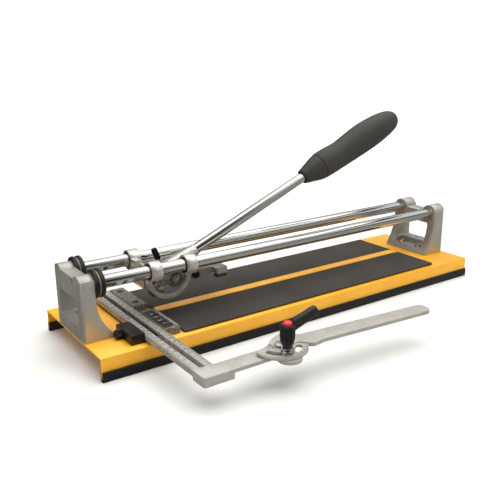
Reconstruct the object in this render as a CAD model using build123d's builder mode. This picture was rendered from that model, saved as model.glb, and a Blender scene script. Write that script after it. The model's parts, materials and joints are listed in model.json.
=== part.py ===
"""Manual tile cutter with two rails, a carriage with a lever, and a side ruler with an angle arm.

Millimetres, +Z up. X runs along the rails, from the end with the side ruler to the far end.
+Y points to the rear. The origin is the middle of the base's footprint, on the bench, so the
scoring line is the plane Y = 0. Every joint is drawn at rest: the carriage parked near the ruler
end with its lever raised, and the angle arm swung out in front of the base.
"""
import os
from math import cos, hypot, radians, sin

from build123d import *

os.makedirs("parts", exist_ok=True)

# ---------------------------------------------------------------- driving dimensions
# base
base_length = 540.0
base_width = 153.0
base_top = 25.0
sheet = 2.0
bend_radius = 5.0
flange_bottom = 3.0
rib_width = 13.0
rib_height = 3.6
rib_start = -174.0
rib_end = 206.0
rib_edge = 1.2

# rubber foot strips clipped on the lower edges of the base
strip_wall = 1.8
strip_height = 10.5

# pads
pad_thickness = 2.8
pad_start = -174.0
pad_end = 209.0
pad_outer_edge = 70.0
pad_gap = 0.4

# rails
rail_radius = 7.0
rail_half_spacing = 26.0
rail_height = 83.0
seat_clearance = 0.02

# end brackets
boss_radius = 11.0
left_boss_length = 15.0
right_boss_length = 20.0
right_bracket_inset = 4.0
bracket_foot = 35.0
bracket_end_wall = 3.0
left_bridge_top = 90.0
right_bridge_top = 84.0
lock_screw_drop = 3.6
lock_screw_y = -15.0
window_half_width = 25.0
window_bottom = 39.0
window_top = 68.0
foot_flange_height = 7.0
flange_bolt_spacing = 30.0
bolt_hole_radius = 2.6
lock_screw_radius = 2.0
lock_screw_inset = 1.5
lock_screw_length = 8.0

# bumper rings on the rails
ring_radius = 15.0
ring_width = 4.7
spacer_width = 1.4
spacer_radius = 13.6

# carriage
sleeve_radius = 11.0
sleeve_length = 12.5
left_sleeve_x = -185.0
right_sleeve_x = -142.5
bush_wall = 1.9
rail_running_clearance = 0.05
guard_x = -168.5
guard_z = 76.0
guard_radius = 26.0
guard_rim = 4.6
guard_front = -31.0
guard_depth = 7.0
cheek_inner = 13.0
cheek_thickness = 4.0
cheek_top = 82.0

# lever
pivot_x = -154.0
pivot_z = 66.0
pivot_radius = 4.0
pin_clearance = 0.05
lever_angle = 22.8
lever_offset = 7.0
hub_radius = 10.5
hub_half_width = 12.5
socket_radius = 10.4
socket_taper = 3.5
socket_start = -14.0
socket_end = 41.0
rod_radius = 6.0
rod_start = 4.0
grip_start = 210.0
grip_length = 170.0
grip_bore_depth = 120.0
rod_screw_s = -3.0
rod_screw_radius = 3.4
rod_screw_seat = 17.0
rod_screw_top = 36.5

# scoring wheel, fork and axle
wheel_radius = 11.0
wheel_thickness = 2.4
wheel_reach = 20.0
wheel_direction = 220.0
wheel_bore = 3.0
axle_clearance = 0.05
fork_gap = 3.2
fork_wall = 2.6

# breaker foot
arm_half_width = 4.0
foot_pin_x = -124.0
foot_pin_z = 62.4
foot_pin_radius = 2.5
foot_wing_start = -101.0
foot_wing_end = -85.5
foot_wing_bottom = 59.5
foot_wing_top = 66.5
foot_half_span = 17.0
foot_pad_thickness = 4.0

# stop fences
fence_start = -196.0
fence_width = 18.0
fence_top = 34.0
fence_gap = 8.0
fence_front_end = -67.0
fence_rear_end = 73.0

# side ruler
ruler_left = -218.0
ruler_right = -196.5
ruler_slot = 5.6
ruler_bottom = 27.0
ruler_top = 33.5
ruler_rear = 73.0
ruler_front = -181.0
ruler_arm_width = 20.0
corner_block_bottom = 23.5
corner_block_end = -185.5
arm_bottom = 29.5
arm_end_bottom = 29.5
slot_front = -160.0
slot_rear = 66.0

# ruler guide
guide_left = -233.0
guide_front = -67.0
guide_rear = -30.0
guide_lip_top = 35.5
guide_key_top = 31.0
guide_floor = 26.7
slide_clearance = 0.3

# angle arm
angle_x = -127.5
angle_y = -172.0
angle_rest = -5.5
disc_radius = 27.0
disc_thickness = 3.0
disc_cut_left = -9.8
disc_cut_height = 7.3
hub_ear = 22.0
arm_near_edge = -9.2
arm_near_edge_at_tip = -7.2
arm_far_edge = 11.5
arm_tip = 187.5
arm_tip_radius = 7.0
arm_hook = -12.7
arm_thickness = 4.0
arc_slot_width = 6.6
angle_pivot_radius = 4.0
angle_plate_bottom = 34.0

# clamp lever
clamp_x = -132.5
clamp_y = -189.0
stud_radius = 3.0
washer_radius = 6.4
washer_thickness = 3.4
clamp_nut_height = 2.6
barrel_radius = 7.3
barrel_bottom = 43.6
barrel_top = 66.3
handle_length = 34.3
handle_root = 57.5
handle_root_height = 12.0
handle_tip = 67.2
handle_tip_height = 10.2
handle_width = 8.0
button_radius = 4.2
button_stand = 2.6

# ---------------------------------------------------------------- worked-out places
half_length = base_length / 2
half_width = base_width / 2
pad_inner_edge = rib_width / 2 + pad_gap
sides = (-1, 1)
rail_places = (-rail_half_spacing, rail_half_spacing)
left_end = -half_length
right_end = half_length - right_bracket_inset
rail_start = left_end + bracket_end_wall
rail_end = right_end - bracket_end_wall
lever_plane = Plane(
    origin=(pivot_x, 0, pivot_z),
    x_dir=(cos(radians(lever_angle)), 0, sin(radians(lever_angle))),
    z_dir=(0, -1, 0),
)
lever_axis_plane = Plane(
    origin=lever_plane.from_local_coords((0, lever_offset, 0)),
    x_dir=(0, 1, 0),
    z_dir=(cos(radians(lever_angle)), 0, sin(radians(lever_angle))),
)
wheel_x = pivot_x + wheel_reach * cos(radians(wheel_direction))
wheel_z = pivot_z + wheel_reach * sin(radians(wheel_direction))
angle_plane = Plane(
    origin=(angle_x, angle_y, angle_plate_bottom),
    x_dir=(cos(radians(angle_rest)), sin(radians(angle_rest)), 0),
    z_dir=(0, 0, 1),
)


def save(solid, name):
    """Label one piece and write it to its own file."""
    solid.label = name
    export_step(solid, f"parts/{name}.step")


def side_plane(y):
    """A drawing plane facing the front at the given y, with X to the right and Z up."""
    return Plane(origin=(0, y, 0), x_dir=(1, 0, 0), z_dir=(0, -1, 0))


def end_plane(x):
    """A drawing plane facing +X at the given x, with Y to the right and Z up."""
    return Plane(origin=(x, 0, 0), x_dir=(0, 1, 0), z_dir=(1, 0, 0))


# ---------------------------------------------------------------- base
# The sheet is a channel with rounded bends and a hollow raised rib down the scoring line.
with BuildPart() as base_plate:
    with BuildSketch(end_plane(-half_length)):
        with Locations((0, base_top / 2)):
            Rectangle(base_width, base_top)
        top_corners = [v for v in vertices() if v.Z > base_top / 2]
        fillet(top_corners, bend_radius)
        with Locations((0, flange_bottom / 2)):
            Rectangle(base_width, flange_bottom, mode=Mode.SUBTRACT)
    extrude(amount=base_length)
    with BuildSketch(end_plane(-half_length)):
        with Locations((0, (base_top - sheet) / 2)):
            Rectangle(base_width - 2 * sheet, base_top - sheet)
        top_corners = [v for v in vertices() if v.Z > base_top / 2]
        fillet(top_corners, bend_radius - sheet)
    extrude(amount=base_length, mode=Mode.SUBTRACT)
    rib_length = rib_end - rib_start
    rib_center = (rib_start + rib_end) / 2
    with BuildSketch(Plane.XY.offset(base_top)):
        with Locations((rib_center, 0)):
            SlotOverall(rib_length, rib_width)
    extrude(amount=rib_height, taper=8)
    fillet(base_plate.faces().sort_by(Axis.Z)[-1].edges(), rib_edge)
    with BuildSketch(Plane.XY.offset(base_top - sheet)):
        with Locations((rib_center, 0)):
            SlotOverall(rib_length - 2 * sheet, rib_width - 2 * sheet)
    extrude(amount=rib_height, taper=8, mode=Mode.SUBTRACT)
save(base_plate.part, "base_plate")

for side, name in zip(sides, ("front_foot_strip", "rear_foot_strip")):
    flange_middle = side * (half_width - sheet / 2)
    with BuildPart() as foot_strip:
        with BuildSketch(end_plane(-half_length)):
            with Locations((flange_middle, strip_height / 2)):
                Rectangle(sheet + 2 * strip_wall, strip_height)
            with Locations((flange_middle, (flange_bottom + strip_height) / 2)):
                Rectangle(sheet, strip_height - flange_bottom, mode=Mode.SUBTRACT)
        extrude(amount=base_length)
        outer_edges = foot_strip.edges().filter_by(Axis.X).group_by(Axis.Z)[0]
        fillet(outer_edges, strip_wall / 2)
    save(foot_strip.part, name)

for side, name in zip(sides, ("front_pad", "rear_pad")):
    with BuildPart() as pad:
        with BuildSketch(Plane.XY.offset(base_top)):
            with Locations(((pad_start + pad_end) / 2, side * (pad_inner_edge + pad_outer_edge) / 2)):
                RectangleRounded(pad_end - pad_start, pad_outer_edge - pad_inner_edge, 2)
        extrude(amount=pad_thickness)
    save(pad.part, name)


# ---------------------------------------------------------------- end brackets
def make_bracket(outer_x, inward, boss_length, bridge_top):
    """Cast bracket standing on the base, with its flat face at outer_x and its foot inward."""
    waist = 14.0
    with BuildPart() as bracket:
        with BuildSketch(side_plane(rail_half_spacing + boss_radius)):
            with BuildLine():
                foot_top = (outer_x + inward * bracket_foot, base_top + 1.5)
                neck = (outer_x + inward * boss_length, rail_height - waist)
                Polyline(
                    foot_top,
                    (outer_x + inward * bracket_foot, base_top),
                    (outer_x, base_top),
                    (outer_x, bridge_top),
                    (outer_x + inward * boss_length, bridge_top),
                    neck,
                )
                TangentArc(neck, foot_top, tangent=(0, -1))
            make_face()
        extrude(amount=2 * (rail_half_spacing + boss_radius))
        with BuildSketch(end_plane(outer_x)):
            with Locations(*[(y, rail_height) for y in rail_places]):
                Circle(boss_radius)
        extrude(amount=inward * boss_length)
        upright_edges = bracket.edges().filter_by(Axis.Z)
        lower_corners = upright_edges.filter_by(lambda e: e.center().Z < rail_height - waist)
        fillet(lower_corners, 2.5)
        with BuildSketch(end_plane(outer_x)):
            with Locations((0, (window_bottom + window_top) / 2)):
                RectangleRounded(2 * window_half_width, window_top - window_bottom, 2)
        extrude(amount=inward * bracket_foot, mode=Mode.SUBTRACT)
        with BuildSketch(end_plane(outer_x + inward * bracket_foot)):
            pocket_bottom = base_top + foot_flange_height
            with Locations((0, (pocket_bottom + window_bottom) / 2 + 1)):
                Rectangle(2 * window_half_width - 4, window_bottom - pocket_bottom + 2)
        extrude(amount=-inward * (bracket_foot - boss_length + 4), mode=Mode.SUBTRACT)
        with BuildSketch(end_plane(outer_x + inward * bracket_end_wall)):
            with Locations(*[(y, rail_height) for y in rail_places]):
                Circle(rail_radius + seat_clearance)
        extrude(amount=inward * boss_length, mode=Mode.SUBTRACT)
        bolt_x = outer_x + inward * (bracket_foot + boss_length - 4) / 2
        with Locations(*[(bolt_x, side * flange_bolt_spacing / 2, base_top) for side in sides]):
            Cylinder(
                bolt_hole_radius,
                foot_flange_height,
                align=(Align.CENTER, Align.CENTER, Align.MIN),
                mode=Mode.SUBTRACT,
            )
        with BuildSketch(end_plane(outer_x)):
            with Locations((lock_screw_y, bridge_top - lock_screw_drop)):
                Circle(lock_screw_radius)
        extrude(amount=inward * boss_length, mode=Mode.SUBTRACT)
    return bracket.part, bolt_x


left_bracket, left_bolt_x = make_bracket(left_end, 1, left_boss_length, left_bridge_top)
right_bracket, right_bolt_x = make_bracket(right_end, -1, right_boss_length, right_bridge_top)
save(left_bracket, "left_bracket")
save(right_bracket, "right_bracket")

# Four flange bolts, two in each bracket, with hexagon heads above the foot flange.
bolt_head_radius = 5.0
bolt_head_height = 3.5
with BuildPart() as bracket_bolts:
    flange_top = base_top + foot_flange_height
    for bolt_x in (left_bolt_x, right_bolt_x):
        with BuildSketch(Plane.XY.offset(flange_top)):
            with Locations(*[(bolt_x, side * flange_bolt_spacing / 2) for side in sides]):
                RegularPolygon(bolt_head_radius, 6)
        extrude(amount=bolt_head_height)
        with BuildSketch(Plane.XY.offset(base_top)):
            with Locations(*[(bolt_x, side * flange_bolt_spacing / 2) for side in sides]):
                Circle(bolt_hole_radius)
        extrude(amount=foot_flange_height)
save(bracket_bolts.part, "bracket_bolts")

with BuildPart() as lock_screws:
    for outer_x, inward, bridge_top in ((left_end, 1, left_bridge_top), (right_end, -1, right_bridge_top)):
        with BuildSketch(end_plane(outer_x + inward * lock_screw_inset)):
            with Locations((lock_screw_y, bridge_top - lock_screw_drop)):
                Circle(lock_screw_radius)
        extrude(amount=inward * lock_screw_length)
save(lock_screws.part, "bracket_lock_screws")

# ---------------------------------------------------------------- rails and bumper rings
for y, name in zip(rail_places, ("front_rail", "rear_rail")):
    with BuildPart() as rail:
        with BuildSketch(end_plane(rail_start)):
            with Locations((y, rail_height)):
                Circle(rail_radius)
        extrude(amount=rail_end - rail_start)
        chamfer(rail.edges().filter_by(GeomType.CIRCLE), 0.6)
    save(rail.part, name)

ring_starts = (
    left_end + left_boss_length + 0.2,
    left_end + left_boss_length + 0.2 + ring_width + spacer_width,
)
with BuildPart() as bumper_rings:
    for ring_start in ring_starts:
        with BuildSketch(end_plane(ring_start)):
            with Locations(*[(y, rail_height) for y in rail_places]):
                Circle(ring_radius)
                Circle(rail_radius + seat_clearance, mode=Mode.SUBTRACT)
        extrude(amount=ring_width)
    round_edges = bumper_rings.edges().filter_by(GeomType.CIRCLE)
    tread_edges = round_edges.filter_by(lambda e: e.radius > spacer_radius)
    fillet(tread_edges, 1.6)
save(bumper_rings.part, "bumper_rings")

with BuildPart() as ring_spacers:
    with BuildSketch(end_plane(ring_starts[0] + ring_width)):
        with Locations(*[(y, rail_height) for y in rail_places]):
            Circle(spacer_radius)
            Circle(rail_radius + seat_clearance, mode=Mode.SUBTRACT)
    extrude(amount=spacer_width)
save(ring_spacers.part, "ring_spacers")

# ---------------------------------------------------------------- carriage
bush_radius = rail_radius + bush_wall
left_sleeve_start = left_sleeve_x - sleeve_length / 2
right_sleeve_start = right_sleeve_x - sleeve_length / 2
right_sleeve_stop = right_sleeve_x + sleeve_length / 2
sleeve_places = (
    (left_sleeve_start, -rail_half_spacing),
    (left_sleeve_start, rail_half_spacing),
    (right_sleeve_start, -rail_half_spacing),
)
cheek_outer = cheek_inner + cheek_thickness
carriage_bridge_bottom = 74.5
carriage_bridge_top = 87.0
bridge_length = sleeve_length - 5.0
saddle_bottom = 60.0
notch_floor = 69.0
notch_half_width = 5.0

with BuildPart() as carriage_body:
    for start, y in sleeve_places:
        with BuildSketch(end_plane(start)):
            with Locations((y, rail_height)):
                Circle(sleeve_radius)
        extrude(amount=sleeve_length)
    # bridge across the rails at the parked end
    with BuildSketch(end_plane(left_sleeve_start)):
        with Locations((0, (carriage_bridge_bottom + carriage_bridge_top) / 2)):
            Rectangle(2 * rail_half_spacing, carriage_bridge_top - carriage_bridge_bottom)
    extrude(amount=bridge_length)
    # saddle between the cheeks, notched so the rod's screw can swing through it
    with BuildSketch(end_plane(left_sleeve_start)):
        with Locations((0, (saddle_bottom + carriage_bridge_top) / 2)):
            Rectangle(2 * cheek_inner, carriage_bridge_top - saddle_bottom)
    extrude(amount=bridge_length)
    with BuildSketch(end_plane(left_sleeve_start)):
        with Locations((0, (notch_floor + carriage_bridge_top) / 2)):
            Rectangle(2 * notch_half_width, carriage_bridge_top - notch_floor)
    extrude(amount=bridge_length, mode=Mode.SUBTRACT)
    # two cheeks that carry the lever pivot
    for plane_y in (-cheek_inner, cheek_outer):
        with BuildSketch(side_plane(plane_y)):
            with BuildLine():
                Polyline(
                    (left_sleeve_start, cheek_top),
                    (right_sleeve_stop, cheek_top),
                    (right_sleeve_stop, rail_height - 8),
                    (pivot_x + hub_radius, pivot_z),
                    (pivot_x, pivot_z - hub_radius),
                    (pivot_x - hub_radius, pivot_z),
                    (left_sleeve_start, rail_height - 9),
                    close=True,
                )
            make_face()
            with Locations((pivot_x, pivot_z)):
                Circle(hub_radius)
        extrude(amount=cheek_thickness)
    # half-moon guard hanging below the front rail
    with BuildSketch(side_plane(guard_front)):
        with Locations((guard_x, guard_z)):
            Circle(guard_radius)
            Circle(guard_radius - guard_rim, mode=Mode.SUBTRACT)
        with Locations((guard_x, guard_z + guard_radius)):
            Rectangle(3 * guard_radius, 2 * guard_radius, mode=Mode.SUBTRACT)
    extrude(amount=-guard_depth)
    # bores for the bushes and the pivot
    for start, y in sleeve_places:
        with BuildSketch(end_plane(start)):
            with Locations((y, rail_height)):
                Circle(bush_radius)
        extrude(amount=sleeve_length, mode=Mode.SUBTRACT)
    rail_room = rail_radius + 1.0
    with BuildSketch(end_plane(left_sleeve_start)):
        with Locations(*[(y, rail_height) for y in rail_places]):
            Circle(rail_room)
    extrude(amount=right_sleeve_stop - left_sleeve_start, mode=Mode.SUBTRACT)
    with BuildSketch(side_plane(-cheek_outer)):
        with Locations((pivot_x, pivot_z)):
            Circle(pivot_radius)
    extrude(amount=-2 * cheek_outer, mode=Mode.SUBTRACT)
save(carriage_body.part, "carriage_body")

with BuildPart() as carriage_bushes:
    for start, y in sleeve_places:
        with BuildSketch(end_plane(start)):
            with Locations((y, rail_height)):
                Circle(bush_radius)
                Circle(rail_radius + rail_running_clearance, mode=Mode.SUBTRACT)
        extrude(amount=sleeve_length)
save(carriage_bushes.part, "carriage_bushes")

# ---------------------------------------------------------------- lever pivot
bolt_head = 4.0
nut_height = 5.0
with BuildPart() as pivot_bolt:
    with BuildSketch(side_plane(cheek_outer)):
        with Locations((pivot_x, pivot_z)):
            Circle(pivot_radius)
    extrude(amount=2 * cheek_outer + nut_height + 1)
    with BuildSketch(side_plane(cheek_outer + bolt_head)):
        with Locations((pivot_x, pivot_z)):
            Circle(pivot_radius * 1.8)
    extrude(amount=bolt_head)
save(pivot_bolt.part, "pivot_bolt")

with BuildPart() as pivot_nut:
    with BuildSketch(side_plane(-cheek_outer)):
        with Locations((pivot_x, pivot_z)):
            RegularPolygon(pivot_radius * 1.65, 6)
            Circle(pivot_radius, mode=Mode.SUBTRACT)
    extrude(amount=nut_height)
save(pivot_nut.part, "pivot_nut")

# ---------------------------------------------------------------- lever
fork_half = fork_gap / 2 + fork_wall
foot_knuckle_radius = 5.5
with BuildPart() as lever_hub:
    # knuckle around the pivot
    with BuildSketch(side_plane(hub_half_width - pin_clearance)):
        with Locations((pivot_x, pivot_z)):
            Circle(hub_radius)
    extrude(amount=2 * (hub_half_width - pin_clearance))
    # socket for the rod, blended down into the knuckle
    with BuildSketch(lever_axis_plane.offset(socket_start)):
        Circle(socket_radius)
    extrude(amount=socket_end - socket_start, taper=socket_taper)
    # fork plates that reach down to the wheel axle
    with BuildSketch(side_plane(fork_half)):
        with BuildLine():
            Polyline(
                (pivot_x - 8, pivot_z + 4),
                (pivot_x + 6, pivot_z - 7),
                (wheel_x + 4, wheel_z - 5),
                (wheel_x - 5, wheel_z + 4),
                close=True,
            )
        make_face()
        with Locations((wheel_x, wheel_z)):
            Circle(6)
    extrude(amount=2 * fork_half)
    # arm toward the breaker foot
    with BuildSketch(side_plane(arm_half_width)):
        with BuildLine():
            Polyline(
                (pivot_x, pivot_z + 8),
                (foot_pin_x, foot_pin_z + foot_knuckle_radius),
                (foot_pin_x, foot_pin_z - foot_knuckle_radius),
                (pivot_x, pivot_z - 8),
                close=True,
            )
        make_face()
        with Locations((foot_pin_x, foot_pin_z)):
            Circle(foot_knuckle_radius)
    extrude(amount=2 * arm_half_width)
    # room for the wheel between the fork plates
    with BuildSketch(side_plane(fork_gap / 2)):
        with Locations((wheel_x, wheel_z)):
            Circle(wheel_radius + 1.2)
    extrude(amount=fork_gap, mode=Mode.SUBTRACT)
    # bores: pivot, rod, wheel axle, foot pin and rod screw
    with BuildSketch(side_plane(hub_half_width)):
        with Locations((pivot_x, pivot_z)):
            Circle(pivot_radius + pin_clearance)
        with Locations((wheel_x, wheel_z)):
            Circle(wheel_bore)
        with Locations((foot_pin_x, foot_pin_z)):
            Circle(foot_pin_radius)
    extrude(amount=2 * hub_half_width, mode=Mode.SUBTRACT)
    with BuildSketch(lever_axis_plane.offset(rod_start)):
        Circle(rod_radius)
    extrude(amount=socket_end, mode=Mode.SUBTRACT)
save(lever_hub.part, "lever_hub")

with BuildPart() as lever_rod:
    with BuildSketch(lever_axis_plane.offset(rod_start)):
        Circle(rod_radius)
    extrude(amount=grip_start + grip_bore_depth - rod_start)
    chamfer(lever_rod.edges().filter_by(GeomType.CIRCLE), 0.5)
save(lever_rod.part, "lever_rod")

# The grip swells below the rod's axis: (distance from its collar, half height, drop of the middle).
grip_sections = (
    (0.0, 9.2, 0.0),
    (12.0, 12.8, 0.4),
    (24.0, 16.2, 1.2),
    (34.0, 16.9, 1.4),
    (46.0, 17.1, 1.8),
    (63.0, 16.9, 2.6),
    (77.0, 17.5, 2.2),
    (97.0, 18.5, 1.5),
    (112.0, 18.9, 1.3),
    (128.0, 18.3, 1.5),
    (142.0, 17.1, 1.6),
    (152.0, 15.6, 1.9),
    (160.0, 13.4, 2.6),
    (166.0, 10.0, 3.2),
    (grip_length, 4.0, 3.4),
)
grip_flatness = 0.9
with BuildPart() as lever_grip:
    for distance, half_height, drop in grip_sections:
        with BuildSketch(lever_axis_plane.offset(grip_start + distance)):
            with Locations((0, -drop)):
                Ellipse(half_height * grip_flatness, half_height)
    loft()
    with BuildSketch(lever_axis_plane.offset(grip_start)):
        Circle(rod_radius)
    extrude(amount=grip_bore_depth, mode=Mode.SUBTRACT)
save(lever_grip.part, "lever_grip")

# Black screw square to the rod that locks it in the socket.
rod_screw_plane = Plane(
    origin=lever_plane.from_local_coords((rod_screw_s, 0, 0)),
    x_dir=(0, 1, 0),
    z_dir=lever_plane.y_dir,
)
with BuildPart() as rod_screw:
    with BuildSketch(rod_screw_plane.offset(rod_screw_seat)):
        Circle(rod_screw_radius)
    extrude(amount=rod_screw_top - rod_screw_seat)
    chamfer(rod_screw.edges().filter_by(GeomType.CIRCLE), 0.5)
save(rod_screw.part, "rod_screw")

# ---------------------------------------------------------------- scoring wheel
with BuildPart() as scoring_wheel:
    with BuildSketch(side_plane(wheel_thickness / 2)):
        with Locations((wheel_x, wheel_z)):
            Circle(wheel_radius)
    extrude(amount=wheel_thickness)
    chamfer(scoring_wheel.edges().filter_by(GeomType.CIRCLE), length=0.9, length2=1.6)
    with BuildSketch(side_plane(wheel_thickness / 2)):
        with Locations((wheel_x, wheel_z)):
            Circle(wheel_bore + axle_clearance)
    extrude(amount=wheel_thickness, mode=Mode.SUBTRACT)
save(scoring_wheel.part, "scoring_wheel")

with BuildPart() as wheel_axle:
    with BuildSketch(side_plane(fork_half)):
        with Locations((wheel_x, wheel_z)):
            Circle(wheel_bore)
    extrude(amount=2 * fork_half)
    with BuildSketch(side_plane(-fork_half)):
        with Locations((wheel_x, wheel_z)):
            Circle(wheel_bore * 1.6)
    extrude(amount=2.0)
save(wheel_axle.part, "wheel_axle")

# ---------------------------------------------------------------- breaker foot
lug_gap = arm_half_width + 0.3
lug_wall = 3.5
lug_outer = lug_gap + lug_wall
with BuildPart() as breaker_foot:
    with BuildSketch(side_plane(lug_outer)):
        with BuildLine():
            Polyline(
                (foot_pin_x, foot_pin_z + foot_knuckle_radius),
                (foot_wing_start + 2, foot_wing_top),
                (foot_wing_start + 2, foot_wing_bottom),
                (foot_pin_x, foot_pin_z - foot_knuckle_radius),
                close=True,
            )
        make_face()
        with Locations((foot_pin_x, foot_pin_z)):
            Circle(foot_knuckle_radius)
    extrude(amount=2 * lug_outer)
    with BuildSketch(side_plane(lug_gap)):
        knuckle_room = foot_knuckle_radius + 3.0
        with Locations((foot_pin_x, foot_pin_z)):
            Circle(knuckle_room)
            with Locations((-knuckle_room, 0)):
                Rectangle(2 * knuckle_room, 2 * knuckle_room)
    extrude(amount=2 * lug_gap, mode=Mode.SUBTRACT)
    with BuildSketch(side_plane(foot_half_span)):
        with Locations(((foot_wing_start + foot_wing_end) / 2, (foot_wing_bottom + foot_wing_top) / 2)):
            Rectangle(foot_wing_end - foot_wing_start, foot_wing_top - foot_wing_bottom)
    extrude(amount=2 * foot_half_span)
    upright_edges = breaker_foot.edges().filter_by(Axis.Z)
    wing_edges = upright_edges.filter_by(lambda e: abs(e.center().Y) > lug_outer + 1)
    fillet(wing_edges, 2.5)
    with BuildSketch(side_plane(lug_outer)):
        with Locations((foot_pin_x, foot_pin_z)):
            Circle(foot_pin_radius + pin_clearance)
    extrude(amount=2 * lug_outer, mode=Mode.SUBTRACT)
save(breaker_foot.part, "breaker_foot")

foot_pad_inner = lug_outer + 0.7
with BuildPart() as foot_pads:
    wing_middle = (foot_wing_start + foot_wing_end) / 2
    pad_span = foot_half_span - foot_pad_inner
    with BuildSketch(Plane.XY.offset(foot_wing_bottom)):
        with Locations(*[(wing_middle, side * (foot_pad_inner + pad_span / 2)) for side in sides]):
            Rectangle(foot_wing_end - foot_wing_start - 2, pad_span - 1)
    extrude(amount=-foot_pad_thickness)
save(foot_pads.part, "foot_pads")

pin_head_radius = 4.4
with BuildPart() as foot_pin:
    with BuildSketch(side_plane(lug_outer)):
        with Locations((foot_pin_x, foot_pin_z)):
            Circle(foot_pin_radius)
    extrude(amount=2 * lug_outer)
    with BuildSketch(side_plane(-lug_outer - 0.1)):
        with Locations((foot_pin_x, foot_pin_z)):
            Circle(pin_head_radius)
    extrude(amount=3.5)
    with BuildSketch(side_plane(-lug_outer)):
        with Locations((foot_pin_x, foot_pin_z)):
            Circle(foot_pin_radius)
    extrude(amount=2)
save(foot_pin.part, "foot_pin")

# ---------------------------------------------------------------- stop fences
screw_radius = 2.0
screw_head_radius = 4.0
screw_head_depth = 2.2
screw_inset = 12.0
fence_middle = fence_start + fence_width / 2
fence_spans = (
    ("front_fence", fence_front_end, -fence_gap),
    ("rear_fence", fence_gap, fence_rear_end),
)
fence_screw_places = [
    (fence_middle, y) for name, start, stop in fence_spans for y in (start + screw_inset, stop - screw_inset)
]
for name, start, stop in fence_spans:
    with BuildPart() as fence:
        with BuildSketch(Plane.XY.offset(base_top)):
            with Locations((fence_middle, (start + stop) / 2)):
                Rectangle(fence_width, stop - start)
        extrude(amount=fence_top - base_top)
        chamfer(fence.faces().sort_by(Axis.Z)[-1].edges(), 0.8)
        with Locations(*[(fence_middle, y, fence_top) for y in (start + screw_inset, stop - screw_inset)]):
            Cylinder(screw_head_radius, 2 * screw_head_depth, mode=Mode.SUBTRACT)
            Cylinder(screw_radius, 4 * (fence_top - base_top), mode=Mode.SUBTRACT)
    save(fence.part, name)

with BuildPart() as fence_screws:
    with BuildSketch(Plane.XY.offset(base_top)):
        with Locations(*fence_screw_places):
            Circle(screw_radius)
    extrude(amount=fence_top - base_top - screw_head_depth)
    with BuildSketch(Plane.XY.offset(fence_top - screw_head_depth)):
        with Locations(*fence_screw_places):
            Circle(screw_head_radius)
    extrude(amount=screw_head_depth - 0.3)
save(fence_screws.part, "fence_screws")

# ---------------------------------------------------------------- side ruler and its guide
ruler_middle = (ruler_left + ruler_right) / 2
key_half = ruler_slot / 2 - slide_clearance
with BuildPart() as ruler_guide:
    with BuildSketch(Plane.XY.offset(base_top)):
        with Locations(((guide_left + ruler_right) / 2, (guide_front + guide_rear) / 2)):
            Rectangle(ruler_right - guide_left, guide_rear - guide_front)
        with Locations((ruler_middle, (guide_front + ruler_rear) / 2)):
            Rectangle(ruler_right - ruler_left, ruler_rear - guide_front)
    extrude(amount=guide_floor - base_top)
    lip_right = ruler_left - slide_clearance
    with BuildSketch(Plane.XY.offset(base_top)):
        with Locations(((guide_left + lip_right) / 2, (guide_front + guide_rear) / 2)):
            Rectangle(lip_right - guide_left, guide_rear - guide_front)
    extrude(amount=guide_lip_top - base_top)
    with BuildSketch(Plane.XY.offset(base_top)):
        with Locations((ruler_middle, (guide_front + guide_rear) / 2)):
            Rectangle(2 * key_half, guide_rear - guide_front)
    extrude(amount=guide_key_top - base_top)
save(ruler_guide.part, "ruler_guide")

thumb_y = -43.5
thumb_z = 30.4
thumb_radius = 5.2
thumb_width = 7.0
with BuildPart() as thumb_screw:
    with BuildSketch(end_plane(guide_left)):
        with Locations((thumb_y, thumb_z)):
            Circle(thumb_radius)
    extrude(amount=-thumb_width)
    chamfer(thumb_screw.edges().filter_by(GeomType.CIRCLE), 0.5)
save(thumb_screw.part, "thumb_screw")

end_boss_radius = 12.0
with BuildPart() as side_ruler:
    # straight ruler with a square corner block under its front end
    with BuildSketch(Plane.XY.offset(ruler_bottom)):
        with Locations((ruler_middle, (ruler_front + ruler_rear) / 2)):
            Rectangle(ruler_right - ruler_left, ruler_rear - ruler_front)
    extrude(amount=ruler_top - ruler_bottom)
    with BuildSketch(Plane.XY.offset(corner_block_bottom)):
        with Locations(((ruler_left + corner_block_end) / 2, ruler_front + ruler_arm_width / 2)):
            Rectangle(corner_block_end - ruler_left, ruler_arm_width)
    extrude(amount=ruler_top - corner_block_bottom)
    fillet(side_ruler.edges().filter_by(Axis.Z).sort_by(Axis.Y)[0:2].sort_by(Axis.X)[0], 3)
    # thin arm out to the angle arm's pivot and clamp
    with BuildSketch(Plane.XY.offset(arm_bottom)):
        with Locations(((ruler_left + angle_x) / 2 + 4, ruler_front + ruler_arm_width / 2)):
            Rectangle(angle_x - ruler_left - 8, ruler_arm_width)
    extrude(amount=ruler_top - arm_bottom)
    with BuildSketch(Plane.XY.offset(arm_end_bottom)):
        with Locations((angle_x, angle_y + 3), (clamp_x + 3, clamp_y)):
            Circle(end_boss_radius)
        with Locations(((angle_x + clamp_x) / 2, (angle_y + clamp_y) / 2)):
            Rectangle(2 * end_boss_radius - 3, clamp_y - angle_y if clamp_y > angle_y else angle_y - clamp_y)
    extrude(amount=ruler_top - arm_end_bottom)
    # through slot, threaded hole for the stud and bore for the pivot screw
    with BuildSketch(Plane.XY.offset(corner_block_bottom)):
        with Locations((ruler_middle, (slot_front + slot_rear) / 2)):
            Rectangle(ruler_slot, slot_rear - slot_front)
        with Locations((clamp_x, clamp_y)):
            Circle(stud_radius)
        with Locations((angle_x, angle_y)):
            Circle(angle_pivot_radius)
    extrude(amount=ruler_top - corner_block_bottom, mode=Mode.SUBTRACT)
save(side_ruler.part, "side_ruler")

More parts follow.
